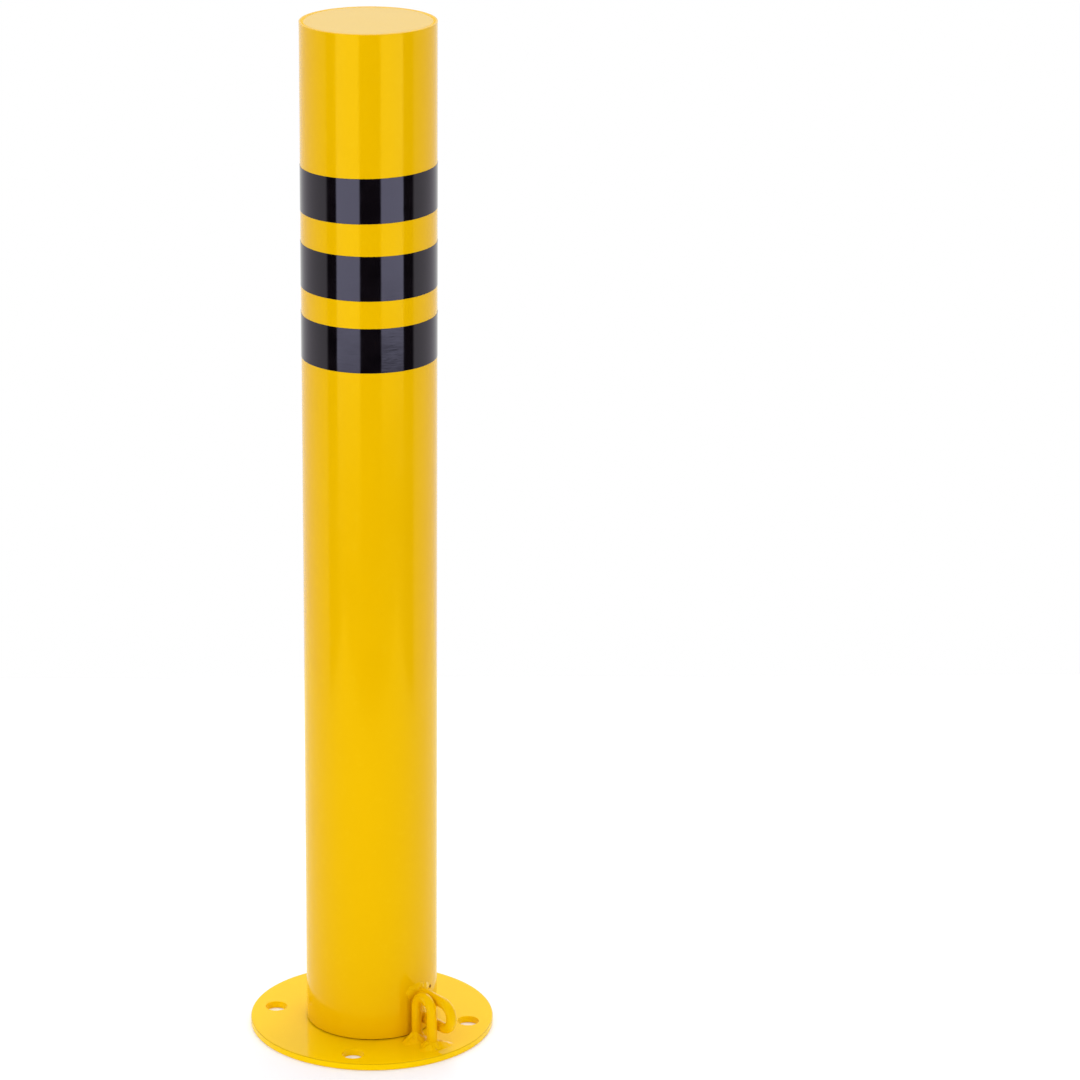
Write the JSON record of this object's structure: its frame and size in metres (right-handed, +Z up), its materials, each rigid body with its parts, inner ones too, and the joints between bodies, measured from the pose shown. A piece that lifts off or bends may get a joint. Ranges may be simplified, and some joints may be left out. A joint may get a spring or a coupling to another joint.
{
  "type": "removable safety bollard",
  "caption": "Steel safety bollard: a round post with black bands that lifts off a spigot on a round bolt-down base plate, with adjacent rod eyes for a padlock.",
  "frame": {"origin": "centre of the base plate's underside", "axes": "+Z up along the post, -Y from the post's axis towards the two padlock eyes, +X from the plate's eye towards the post's eye"},
  "size_m": [0.214, 0.214, 0.9],
  "materials": {
    "post_coating": "glossy yellow powder coat on steel",
    "cap_coating": "glossy yellow powder coat on a dressed weld and flat cap",
    "plate_coating": "glossy yellow powder coat on steel plate",
    "spigot_coating": "yellow powder coat, rubbed where the post slides",
    "eye_coating": "glossy yellow powder coat on bent round bar",
    "weld_coating": "yellow powder coat over weld beads",
    "black_tape": "glossy black vinyl tape"
  },
  "bodies": {
    "base": {"base_plate": "plate_coating", "spigot_tube": "spigot_coating", "spigot_weld": "weld_coating", "plate_eye": "eye_coating", "plate_eye_inner_weld": "weld_coating", "plate_eye_outer_weld": "weld_coating"},
    "post": {"post_tube": "post_coating", "top_cap": "cap_coating", "cap_weld": "cap_coating", "post_eye": "eye_coating", "post_eye_lower_weld": "weld_coating", "post_eye_upper_weld": "weld_coating", "upper_black_band": "black_tape", "middle_black_band": "black_tape", "lower_black_band": "black_tape"}
  },
  "joints": [
    {"name": "post_lift", "type": "slide", "parent": "base", "child": "post", "axis": [0, 0, 1], "range_m": [0, 0.11]}
  ]
}
